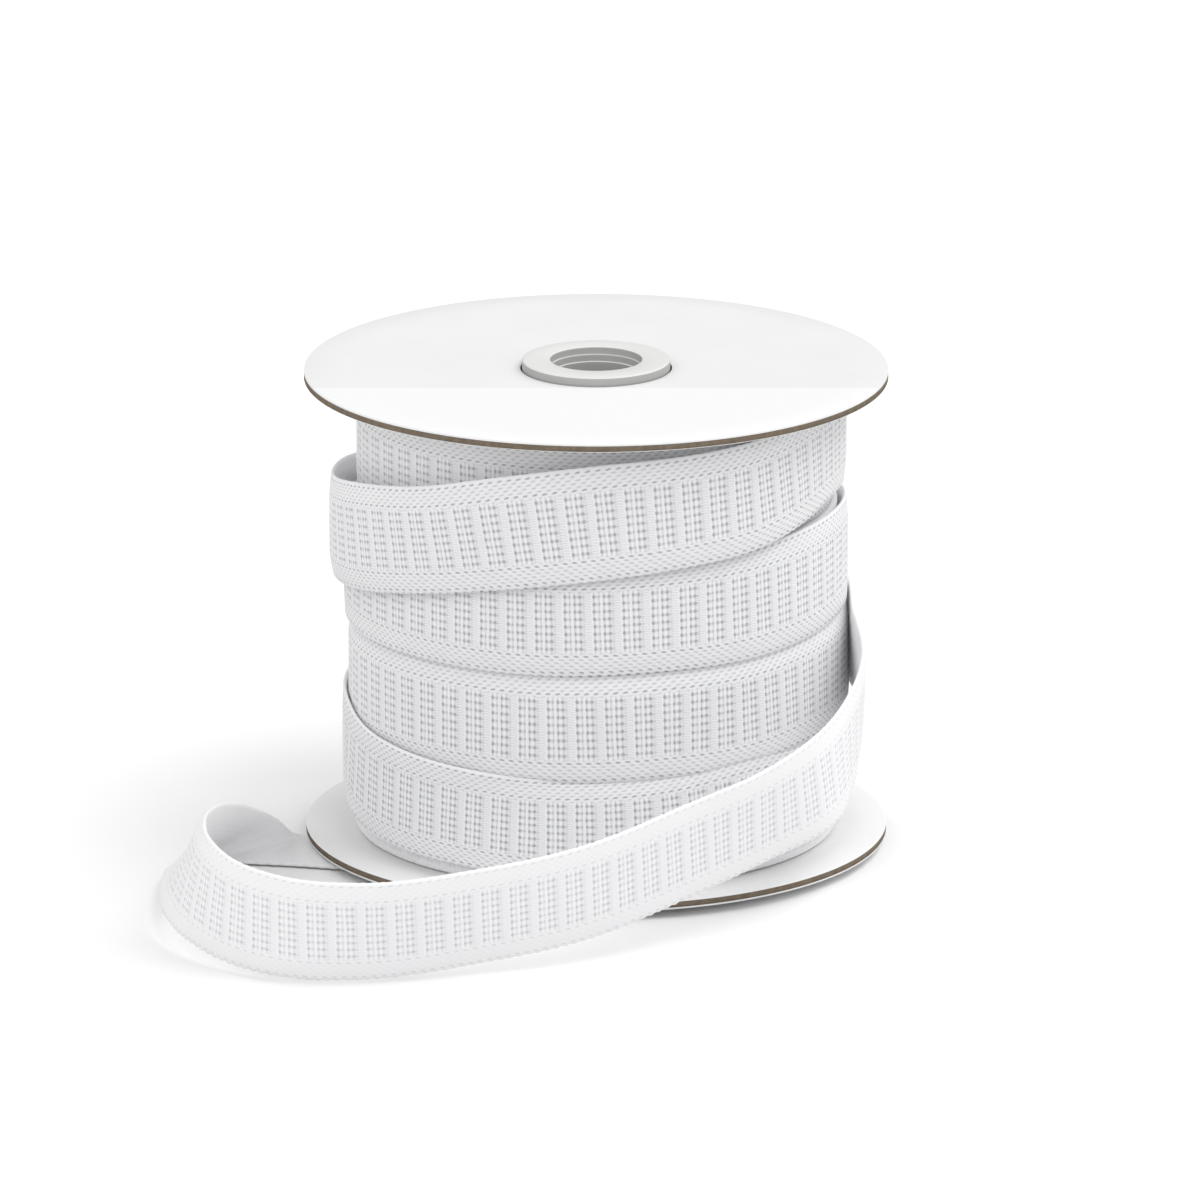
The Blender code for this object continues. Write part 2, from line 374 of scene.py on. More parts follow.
def weave_group() -> bpy.types.NodeTree:
    """The braid of the elastic: rows of small holes, closed ribs and twilled borders, with painted
    shade in its sunk parts and a painted highlight on its raised threads.

    Returns:
        A group with inputs Along and Across (mm), Wander and Fine (cloudiness) and Slack (1 where
        the strap hangs free), and outputs Relief (mm) and Shade (0 to 1).
    """
    tree = new_group("braid", ("Along", "Across", "Wander", "Fine", "Slack"), ("Relief", "PaintedShade"))
    given = tree.nodes["Group Input"]
    wander = Wire(tree, given.outputs["Wander"]) - 0.5
    fine = Wire(tree, given.outputs["Fine"]) * 1.1 + 0.45
    taut = Wire(tree, given.outputs["Slack"]) * -0.8 + 1.0
    along = Wire(tree, given.outputs["Along"]) * -1.0 + wander * 0.24
    across = Wire(tree, given.outputs["Across"]) + wander * 0.16
    border = across.size()

    # The panel: holes and sunk lines in the open columns, with a raised thread between them. The
    # holes, lines and open columns are painted darker as painted shade; the thread and its knots are
    # painted lighter, a painted highlight.
    panel = border.fade(PANEL_HALF + 0.15, PANEL_HALF - 0.15)
    column = (along / REPEAT).math("FRACT") * COLUMNS
    from_row = across.off_beat(ROW, 0.5 * ROW)
    between_rows = across.off_beat(ROW)
    holes = None
    grooves = None
    for centre, half_width, half_height, depth in HOLE_COLUMNS:
        from_column = (column - centre).size() * COLUMN
        hole = from_column.spot(from_row, half_width, half_height) * depth
        groove = from_column.fade(0.22, 0.05) * depth
        holes = hole if holes is None else holes.math("MAXIMUM", hole)
        grooves = groove if grooves is None else grooves.math("MAXIMUM", groove)
    open_part = (column - OPEN_MIDDLE).size().fade(OPEN_MIDDLE, 2.0)
    thread = (column - 2.0).size().fade(0.36, 0.10)
    for centre in (1.0, 3.05):
        knot = ((column - centre).size() * COLUMN).spot(between_rows, 0.30, 0.36)
        thread = thread.math("MAXIMUM", knot * 0.8)
    link = from_row.fade(0.28, 0.10) * open_part
    sunk = (holes * fine).math("MAXIMUM", grooves * 0.5).math("MAXIMUM", link * 0.42)
    sunk = sunk.math("MAXIMUM", open_part * 0.2) - thread * 0.35
    # The closed rib: rounded, with fine slanting streaks, and painted shade between the streaks.
    from_rib = (column - RIB_MIDDLE).size()
    rib = from_rib.fade(RIB_HALF, 0.66)
    rounded = (from_rib * from_rib).turned_over().math("MAXIMUM", 0.0)
    streak = (across + along.wave(EDGE_DOTS) * 0.10 + wander * 0.5).wave(0.455) * 0.5 + 0.5
    panel_relief = sunk * -0.15 + rib * rounded * 0.05 + rib * streak * 0.05
    panel_painted_shade = sunk + rib * streak.turned_over() * 0.3

    # The borders: rows of short dashes set off against each other, and a bead at the edge. The dashes
    # are painted shade, deeper where the strap is wound taut, and the bead is painted a little darker
    # to dull its highlight.
    dashes = []
    for turn in (1.0, 0.0):
        row = border.from_beat(2.0 * TWILL_STEP, INNER_DOTS + turn * TWILL_STEP)
        slanted = (along - row * 0.9).off_beat(EDGE_DOTS, (turn + 0.5) * COLUMN)
        dashes.append(slanted.spot(row.size(), 0.46, 0.19))
    dash = dashes[0].math("MAXIMUM", dashes[1]) * border.fade(9.15, 9.0)
    strong = border.off_beat(OUTER_DOTS - INNER_DOTS, INNER_DOTS).fade(0.40, 0.16)
    bead = border.fade(9.0, 9.3)
    border_painted_shade = dash * (strong * 0.40 + taut * 0.50) * fine
    border_painted_shade = border_painted_shade + bead.turned_over() * 0.10 + bead * 0.12
    border_relief = dash * (strong * 0.06 + taut * 0.07) * -1.0 + bead * 0.05

    outside = panel.turned_over()
    relief = panel_relief * panel + border_relief * outside
    # Painted shade of the panel and the borders, varied by the cloudiness.
    painted_shade_and_mottle = panel_painted_shade * panel + border_painted_shade * outside
    tree.links.new(relief.socket, tree.nodes["Group Output"].inputs["Relief"])
    tree.links.new(painted_shade_and_mottle.socket, tree.nodes["Group Output"].inputs["PaintedShade"])
    return tree


def place_group(tree: bpy.types.NodeTree, group: bpy.types.NodeTree) -> bpy.types.Node:
    """Adds a group to a material's tree.

    Args:
        tree: The material's node tree.
        group: The group to place.

    Returns:
        The node that holds the group.
    """
    node = tree.nodes.new("ShaderNodeGroup")
    node.node_tree = group
    return node


def split_axes(tree: bpy.types.NodeTree, place: bpy.types.NodeSocket) -> bpy.types.Node:
    """Splits a place into its X, Y and Z.

    Args:
        tree: The material's node tree.
        place: The socket that gives the place.

    Returns:
        The node with the outputs X, Y and Z.
    """
    parts = tree.nodes.new("ShaderNodeSeparateXYZ")
    tree.links.new(place, parts.inputs["Vector"])
    return parts


def colour_between(
    tree: bpy.types.NodeTree, share: Wire, first: "tuple | Wire", second: tuple
) -> Wire:
    """Mixes two colours by a value that changes over the surface.

    Args:
        tree: The material's node tree.
        share: 0 for the first colour and 1 for the second.
        first: Linear red, green and blue, or a colour that changes over the surface.
        second: Linear red, green and blue.

    Returns:
        The mixed colour.
    """
    node = tree.nodes.new("ShaderNodeMix")
    node.data_type = "RGBA"
    tree.links.new(share.socket, node.inputs["Factor"])
    if isinstance(first, Wire):
        tree.links.new(first.socket, node.inputs["A"])
    else:
        node.inputs["A"].default_value = (*first, 1.0)
    node.inputs["B"].default_value = (*second, 1.0)
    return Wire(tree, node.outputs["Result"])


def add_bump(tree: bpy.types.NodeTree, height: Wire, distance: float, strength: float) -> None:
    """Feeds a height through a Bump node into the material's normal.

    Args:
        tree: The material's node tree.
        height: The height that changes over the surface.
        distance: Metres that one unit of height stands for.
        strength: Share of the effect.
    """
    node = tree.nodes.new("ShaderNodeBump")
    node.inputs["Distance"].default_value = distance
    node.inputs["Strength"].default_value = strength
    tree.links.new(height.socket, node.inputs["Height"])
    tree.links.new(node.outputs["Normal"], tree.nodes["Principled BSDF"].inputs["Normal"])


@dataclass(frozen=True)
class Finish:
    """A finish that is cloudy on Object coordinates: card, board, liner or plastic."""

    name: str
    light: tuple
    dark: tuple
    roughness: float
    specular: float
    mottle: float
    grain: float

    def make(self) -> bpy.types.Material:
        """Builds the material.

        Returns:
            The finished material.
        """
        material = bpy.data.materials.new(self.name)
        material.use_nodes = True
        tree = material.node_tree
        shader = tree.nodes["Principled BSDF"]
        shader.inputs["Roughness"].default_value = self.roughness
        shader.inputs["Specular IOR Level"].default_value = self.specular
        cloud = self.cloud(tree)
        blend = self.blend(tree, cloud)
        tree.links.new(blend.socket, shader.inputs["Base Color"])
        add_bump(tree, Wire(tree, cloud.outputs["Fine"]), self.grain * MM, 0.6)
        return material

    def cloud(self, tree: bpy.types.NodeTree) -> bpy.types.Node:
        """Places the cloudiness on Object coordinates.

        Args:
            tree: The material's node tree.

        Returns:
            The placed group.
        """
        place = tree.nodes.new("ShaderNodeTexCoord")
        parts = split_axes(tree, place.outputs["Object"])
        cloud = place_group(tree, mottle_group())
        for label in ("X", "Y", "Z"):
            tree.links.new(parts.outputs[label], cloud.inputs[label])
        cloud.inputs["Scale"].default_value = self.mottle
        return cloud

    def blend(self, tree: bpy.types.NodeTree, cloud: bpy.types.Node) -> Wire:
        """The finish's colour all over the piece.

        Args:
            tree: The material's node tree.
            cloud: The placed cloudiness.

        Returns:
            The colour.
        """
        share = Wire(tree, cloud.outputs["Cloud"]).fade(0.3, 0.7)
        return colour_between(tree, share, self.light, self.dark)


@dataclass(frozen=True)
class PrintedPaper(Finish):
    """Coated paper whose front zone, in front of a straight line, is printed a lighter white."""

    zone: tuple = (0.83, 0.83, 0.835)
    zone_y: float = (SPOOL_Y - PRINT_LINE) * MM
    zone_blur: float = 0.2 * MM

    def blend(self, tree: bpy.types.NodeTree, cloud: bpy.types.Node) -> Wire:
        """The paper's colour, lighter in the printed front zone.

        Args:
            tree: The material's node tree.
            cloud: The placed cloudiness.

        Returns:
            The colour.
        """
        plain = super().blend(tree, cloud)
        place = tree.nodes.new("ShaderNodeTexCoord")
        edge = Wire(tree, split_axes(tree, place.outputs["Object"]).outputs["Y"])
        inside = edge.fade(self.zone_y + self.zone_blur, self.zone_y - self.zone_blur)
        return colour_between(tree, inside, plain, self.zone)


@dataclass(frozen=True)
class BraidedElastic:
    """White braided elastic, on the strap's own map of millimetres along and across."""

    name: str = "braided_elastic"
    thread: tuple = (0.90, 0.90, 0.91)
    # The dark colour that the painted shade in the braid's holes and sunk marks goes to.
    hollow_painted_shade: tuple = (0.47, 0.47, 0.51)
    deep_light: float = 0.6
    deep_reach: float = 2.0
    roughness: float = 0.85
    specular: float = 0.2
    mottle: float = 0.35
    inner_share: float = 0.22
    slack_ease: float = 0.4

    def make(self) -> bpy.types.Material:
        """Builds the material.

        Returns:
            The finished material.
        """
        material = bpy.data.materials.new(self.name)
        material.use_nodes = True
        tree = material.node_tree
        shader = tree.nodes["Principled BSDF"]
        shader.inputs["Roughness"].default_value = self.roughness
        shader.inputs["Specular IOR Level"].default_value = self.specular
        shader.inputs["Subsurface Weight"].default_value = self.deep_light
        shader.inputs["Subsurface Radius"].default_value = (1.0, 1.0, 1.0)
        shader.inputs["Subsurface Scale"].default_value = self.deep_reach * MM

        strap_map = tree.nodes.new("ShaderNodeUVMap")
        strap_map.uv_map = "strap"
        parts = split_axes(tree, strap_map.outputs["UV"])
        cloud = place_group(tree, mottle_group())
        tree.links.new(parts.outputs["X"], cloud.inputs["X"])
        tree.links.new(parts.outputs["Y"], cloud.inputs["Y"])
        cloud.inputs["Scale"].default_value = self.mottle
        braid = place_group(tree, weave_group())
        tree.links.new(parts.outputs["X"], braid.inputs["Along"])
        tree.links.new(parts.outputs["Y"], braid.inputs["Across"])
        tree.links.new(cloud.outputs["Cloud"], braid.inputs["Wander"])
        tree.links.new(cloud.outputs["Fine"], braid.inputs["Fine"])

        outer, slack = [tree.nodes.new("ShaderNodeAttribute") for _ in range(2)]
        outer.attribute_name = "outer_face"
        slack.attribute_name = "slack"
        tree.links.new(slack.outputs["Fac"], braid.inputs["Slack"])
        eased = Wire(tree, slack.outputs["Fac"]) * -self.slack_ease + 1.0
        on_outer = Wire(tree, outer.outputs["Fac"])
        depth = (on_outer * (1.0 - self.inner_share) + self.inner_share) * eased
        fine = Wire(tree, cloud.outputs["Fine"]) - 0.5
        # The braid's painted shade, eased where the strap hangs slack, and random tone from the cloud
        # darken the colour; the raised threads keep the light colour, a painted highlight.
        painted_shade_and_mottle = Wire(tree, braid.outputs["PaintedShade"]) * depth + fine * 0.10
        colour = colour_between(tree, painted_shade_and_mottle, self.thread, self.hollow_painted_shade)
        tree.links.new(colour.socket, shader.inputs["Base Color"])
        height = Wire(tree, braid.outputs["Relief"]) * depth + fine * 0.05
        add_bump(tree, height, MM, 0.8)
        return material


def link_piece(name: str, mesh: bmesh.types.BMesh, finishes: list) -> bpy.types.Object:
    """Turns a finished mesh, in millimetres about the spool's axis, into a piece of the part.

    Args:
        name: The piece's name.
        mesh: The mesh, which is freed.
        finishes: Its materials.

    Returns:
        The piece, riding on the part's body.
    """
    bmesh.ops.scale(mesh, vec=(MM, MM, MM), verts=mesh.verts)
    bmesh.ops.translate(mesh, vec=(SPOOL_X * MM, SPOOL_Y * MM, 0.0), verts=mesh.verts)
    data = bpy.data.meshes.new(name)
    mesh.to_mesh(data)
    mesh.free()
    for finish in finishes:
        data.materials.append(finish)
    piece = bpy.data.objects.new(name, data)
    bpy.context.scene.collection.objects.link(piece)
    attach(piece, BODY)
    LOG.info("%s: %d faces", name, len(data.polygons))
    return piece


def turned_mesh(profile: list, steps: int) -> bmesh.types.BMesh:
    """Spins a closed outline about the spool's axis.

    Args:
        profile: Points (radius, height) in order.
        steps: How many pieces the full turn has.

    Returns:
        The closed ring-shaped mesh, its faces pointing outwards.
    """
    mesh = bmesh.new()
    corners = [mesh.verts.new((radius, 0.0, height)) for radius, height in profile]
    edges = []
    for index, corner in enumerate(corners):
        edges.append(mesh.edges.new((corner, corners[(index + 1) % len(corners)])))
    bmesh.ops.spin(
        mesh,
        geom=corners + edges,
        axis=(0.0, 0.0, 1.0),
        angle=2.0 * math.pi,
        steps=steps,
        use_merge=True,
    )
    bmesh.ops.remove_doubles(mesh, verts=mesh.verts, dist=MERGE_DISTANCE)
    bmesh.ops.recalc_face_normals(mesh, faces=mesh.faces)
    return mesh


def soften(piece: bpy.types.Object, angle: float) -> None:
    """Shades a piece smooth except at edges sharper than the angle in degrees."""
    piece.data.shade_smooth()
    piece.data.set_sharp_from_angle(angle=math.radians(angle))


@dataclass
class Flange:
    """A card disc: brown board between white papers, the thicker of them on the spool's outside."""

    side: Side
    floor: float
    finishes: list
    paper: float = 0.38
    liner: float = 0.16
    steps: int = 240
    worn: float = 0.03
    seam: float = 0.08
    crease: float = 40.0

    def layers(self) -> tuple:
        """Thicknesses of the papers on the under face and on the upper face."""
        if self.side is Side.TOP:
            return self.liner, self.paper
        return self.paper, self.liner

    def face_outline(self, layer: float) -> list:
        """The section of one face, from the hole to the board's worn edge, as (radius, depth).

        Args:
            layer: Thickness of the face's paper.

        Returns:
            The points.
        """
        rim = FLANGE_RADIUS
        return [
            (HUB_RADIUS + HOLE_CLEARANCE, 0.0),
            (rim - 6.0, 0.0),
            (rim - 0.16, 0.0),
            (rim - self.worn, 0.05),
            (rim, layer * 0.5),
            (rim, layer - 0.02),
            (rim - self.seam, layer),
            (rim - self.worn, layer + 0.10),
        ]

    def outline(self) -> list:
        """The section's points, from the hole along the under face, up the rim and back."""
        under, over = [self.face_outline(layer) for layer in self.layers()]
        roof = self.floor + FLANGE_THICKNESS
        low = [(radius, self.floor + depth) for radius, depth in under]
        high = [(radius, roof - depth) for radius, depth in reversed(over)]
        return [*low, (FLANGE_RADIUS, 0.5 * (self.floor + roof)), *high]

    def build(self) -> bpy.types.Object:
        """Builds the disc and gives each layer of its rim its own finish.

        Returns:
            The flange.
        """
        mesh = turned_mesh(self.outline(), self.steps)
        under, over = self.layers()
        board_low = self.floor + under - 0.01
        board_high = self.floor + FLANGE_THICKNESS - over + 0.01
        for face in mesh.faces:
            middle = face.calc_center_median()
            radius = math.hypot(middle.x, middle.y)
            on_rim = radius > FLANGE_RADIUS - 0.15 or radius < HUB_RADIUS + 0.5
            if on_rim and board_low < middle.z < board_high:
                face.material_index = 1
            elif middle.z > self.floor + 0.5 * FLANGE_THICKNESS:
                face.material_index = 0
            else:
                face.material_index = 2
        name = f"{self.side.value}_card_disc"
        piece = link_piece(name, mesh, self.finishes)
        soften(piece, self.crease)
        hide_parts(f"flange_{self.side.value}")
        return piece


@dataclass
class Hub:
    """The moulded tube with a low collar at each end and a stepped mouth in its bore."""

    finishes: list
    bore: float = 7.35
    mouth: float = 7.95
    step_out: float = 0.34
    modelled_depth: float = 14.0
    steps: int = 128
    crease: float = 50.0

    def end_outline(self) -> list:
        """The section at one end, from deep in the bore to the outer wall, as (radius, depth)."""
        edge = HUB_RADIUS
        step = self.bore + self.step_out
        return [
            (self.bore, self.modelled_depth),
            (self.bore, 3.0),
            (self.bore + 0.05, 2.55),
            (self.bore + 0.30, 2.45),
            (step, 2.3),
            (step, 1.5),
            (self.bore + 0.40, 1.32),
            (self.mouth - 0.08, 1.25),
            (self.mouth, 1.1),
            (self.mouth, 0.25),
            (self.mouth + 0.07, 0.08),
            (self.mouth + 0.25, 0.0),
            (edge - 0.5, 0.0),
            (edge - 0.22, 0.06),
            (edge - 0.06, 0.22),
            (edge, 0.5),
            (edge, self.modelled_depth),
        ]

    def build(self) -> bpy.types.Object:
        """Builds the hub, its upright walls in a darker copy of its plastic, which is painted shade.

        Returns:
            The hub.
        """
        upper = [(radius, OVERALL_HEIGHT - depth) for radius, depth in self.end_outline()]
        lower = [(radius, depth) for radius, depth in reversed(self.end_outline())]
        mesh = turned_mesh(upper + lower, self.steps)
        # Upright walls and bore take the darker copy of the plastic: painted shade, not a different
        # plastic.
        for face in mesh.faces:
            upright = abs(face.normal.z) < 0.5
            face.material_index = 1 if upright else 0
        piece = link_piece("moulded_hub", mesh, self.finishes)
        soften(piece, self.crease)
        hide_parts("hub")
        return piece


@dataclass
class Route:
    """The whole strap's way: both edges, row by row, from its hidden start to its cut end."""

    turns: tuple = (LOW_TURN, MIDDLE_TURN, UPPER_TURN, LAST_TURN)
    # Degrees, counted on from turn to turn, where one length ends and the next begins.
    cuts: tuple = (-180.0, -540.0, -979.0)
    # Degrees between the winding's rows, and then millimetres between all rows.
    wind_step: float = 4.0
    fine_step: float = 0.3
    line: np.ndarray = field(init=False)
    travelled: np.ndarray = field(init=False)
    marks: list = field(init=False)

    def __post_init__(self) -> None:
        """Works out the fine line from the tables."""
        wound = []
        for index, turn in enumerate(self.turns):
            shift = np.array([-360.0 * index, 0.0, 0.0, 0.0, 0.0, 0.0])
            wound.append(np.array(turn) + shift)
        wound = np.vstack(wound)
        rows = self.winding(wound)
        drape = []
        for foot_x, foot_y, foot_z, lean_x, lean_y in FREE_END:
            rise = math.sqrt(max(STRAP_WIDTH**2 - lean_x**2 - lean_y**2, 0.0))
            high = (foot_x + lean_x, foot_y + lean_y, foot_z + rise)
            drape.append((foot_x, foot_y, foot_z, *high, 0.0, 0.0, 1.0))
        rows = np.vstack([rows, np.array(drape)])
        fine = self.curve_through(rows, self.gaps_of(rows), self.fine_step)
        far = np.concatenate([[0.0], np.cumsum(self.gaps_of(fine))])
        self.travelled = np.arange(0.5 * SAMPLE, far[-1], SAMPLE)
        columns = [np.interp(self.travelled, far, column) for column in fine.T]
        self.line = np.array(columns).T
        middle = 0.5 * (fine[:, 0:2] + fine[:, 3:5])
        bearing = np.unwrap(np.arctan2(middle[:, 0], -middle[:, 1]))
        bearing = np.degrees(bearing - bearing[0]) + wound[0, 0]
        reached = [far[np.argmax(bearing <= angle)] for angle in self.cuts]
        self.marks = [int(round(length / SAMPLE)) for length in reached]

    def winding(self, wound: np.ndarray) -> np.ndarray:
        """Rows of the two edges at small steps of angle.

        Args:
            wound: Rows of angle, radius, low edge, high edge and the two tucks.

        Returns:
            Rows of both edges' places, the two tucks and how slack the strap is.
        """
        gaps = -np.diff(wound[:, 0])
        dense = self.curve_through(wound, gaps, self.wind_step)
        turn = dense[:, 0]
        tall = dense[:, 3] - dense[:, 2]
        climb = np.gradient(0.5 * (dense[:, 2] + dense[:, 3]), np.radians(turn)) / dense[:, 1]
        lean = np.degrees(0.5 * tall * climb / (1.0 + climb**2) / dense[:, 1])
        low_edge = self.edge_at(dense, turn + lean, 2)
        high_edge = self.edge_at(dense, turn - lean, 3)
        return np.hstack([low_edge, high_edge, dense[:, 4:6], np.zeros((len(dense), 1))])

    @staticmethod
    def edge_at(dense: np.ndarray, angles: np.ndarray, column: int) -> np.ndarray:
        """Places of one edge at the angles where the strap's section, square to its way, meets it.

        Args:
            dense: Rows of the winding, their angles falling.
            angles: The angles wanted (degrees).
            column: The column that holds the edge's height.

        Returns:
            Rows of x, y and z.
        """
        radius = np.interp(-angles, -dense[:, 0], dense[:, 1])
        height = np.interp(-angles, -dense[:, 0], dense[:, column])
        turn = np.radians(angles)
        return np.column_stack([radius * np.sin(turn), -radius * np.cos(turn), height])

    @staticmethod
    def gaps_of(rows: np.ndarray) -> np.ndarray:
        """Distances between the middles of neighbouring rows."""
        middle = 0.5 * (rows[:, 0:3] + rows[:, 3:6])
        return np.linalg.norm(np.diff(middle, axis=0), axis=1)

    @staticmethod
    def curve_through(rows: np.ndarray, gaps: np.ndarray, step: float) -> np.ndarray:
        """A smooth curve through all rows, cut into pieces of about one step.

        Args:
            rows: The rows to pass through.
            gaps: The distance from each row to the next.
            step: Length of a piece, in the unit of the gaps.

        Returns:
            The finer rows.
        """
        slopes = np.empty_like(rows)
        steps = np.diff(rows, axis=0) / gaps[:, None]
        slopes[0] = steps[0]
        slopes[-1] = steps[-1]
        share = (gaps[1:] / (gaps[:-1] + gaps[1:]))[:, None]
        slopes[1:-1] = share * steps[:-1] + (1.0 - share) * steps[1:]
        pieces = []
        for index, gap in enumerate(gaps):
            count = max(1, round(gap / step))
            u = (np.arange(count) / count)[:, None]
            start = (2 * u**3 - 3 * u**2 + 1) * rows[index]
            leave = (u**3 - 2 * u**2 + u) * gap * slopes[index]
            finish = (3 * u**2 - 2 * u**3) * rows[index + 1]
            arrive = (u**3 - u**2) * gap * slopes[index + 1]
            pieces.append(start + leave + finish + arrive)
        pieces.append(rows[-1:])
        return np.vstack(pieces)


class StrapSection:
    """The strap's section: places across it, and how far the braid stands up or is sunk there."""

    # The section is flat to here, thins to the half thickness of its edge, and is rounded off.
    FLAT_TO = 6.0
    THIN_FROM = 9.1
    THIN_HALF = 0.32
    ROUND_OFF = 0.4
    # The relief (mm) of a hole, the groove through its column, the rib and the borders' dots.
    HOLE_DEPTH = 0.10
    GROOVE_DEPTH = 0.03
    RIB_HEIGHT = 0.06
    DOT_DEPTH = 0.04
    INNER_SHARE = 0.15
    # The edges' small teeth and scallops (mm), and the high edge's share of them.
    TOOTH = 0.03
    SCALLOP = 0.34
    HIGH_SHARE = 0.35

    def __init__(self) -> None:
        """Lists the places across, outer face first, then the inner face back."""
        panel = [0.5 * ROW * step for step in range(-9, 10)]
        rim = [6.5, 7.1, 7.65, 8.2, 8.55, 8.8, 9.15, 9.4, 9.5]
        outer = [-place for place in reversed(rim)] + panel + rim
        inner = [9.3, 8.6, 6.0, 3.0, 0.0, -3.0, -6.0, -8.6, -9.3]
        self.across = np.array(outer + inner)
        self.outer = np.array([1.0] * len(outer) + [0.0] * len(inner))

    def body(self) -> np.ndarray:
        """The smooth section's height above the strap's middle at each place."""
        reach = np.abs(self.across)
        ends = (self.FLAT_TO, self.THIN_FROM)
        half = np.interp(reach, ends, (0.5 * STRAP_THICKNESS, self.THIN_HALF))
        edge = np.clip((reach - self.THIN_FROM) / self.ROUND_OFF, 0.0, 1.0)
        rounded = half * np.sqrt(1.0 - edge**2)
        return np.where(self.outer > 0.5, rounded, -rounded)

    def relief(self, along: np.ndarray) -> np.ndarray:
        """How far the braid stands up or is sunk, for each length along and place across.

        Args:
            along: Lengths along the strap (mm).

        Returns:
            One row for each length.
        """
        column = np.mod(-along / REPEAT, 1.0)[:, None] * COLUMNS
        across = self.across[None, :]
        border = np.abs(across)
        from_row = np.abs(np.mod(across / ROW, 1.0) - 0.5) * ROW
        from_column = np.abs(np.mod(column, 1.0) - 0.5) * COLUMN
        opened = column < len(HOLE_COLUMNS)
        hole = np.clip(1.0 - np.hypot(from_column / 0.5, from_row / 0.62), 0.0, 1.0)
        groove = np.clip(1.0 - from_column / 0.3, 0.0, 1.0)
        rib = np.clip(1.0 - ((column - RIB_MIDDLE) / RIB_HALF) ** 2, 0.0, 1.0)
        sunk = -self.HOLE_DEPTH * hole - self.GROOVE_DEPTH * groove
        panel = np.where(opened, sunk, self.RIB_HEIGHT * rib)
        beat = np.cos(2.0 * math.pi * (along[:, None] / EDGE_DOTS + 0.25))
        inner_line = np.clip(1.0 - np.abs(border - INNER_DOTS) / 0.35, 0.0, 1.0)
        outer_line = np.clip(1.0 - np.abs(border - OUTER_DOTS) / 0.3, 0.0, 1.0)
        rim = -self.DOT_DEPTH * (inner_line * (1.0 + beat) + outer_line * (1.0 - beat))
        face = np.where(border < PANEL_HALF, panel, rim)
        return np.where((self.outer > 0.5)[None, :], face, self.INNER_SHARE * face)

    def serration(self, along: np.ndarray) -> np.ndarray:
        """How far the two edges go in and out: scallops, deeper on the low edge.

        Args:
            along: Lengths along the strap (mm).

        Returns:
            One row for each length.
        """
        tooth = np.cos(2.0 * math.pi * along / COLUMN)
        scallop = np.abs(np.cos(math.pi * along / EDGE_DOTS)) - 0.64
        reach = np.clip(np.abs(self.across) - 8.5, 0.0, 1.0)
        share = np.where(self.across < 0.0, -1.0, self.HIGH_SHARE) * reach
        return (self.TOOTH * tooth + self.SCALLOP * scallop)[:, None] * share[None, :]


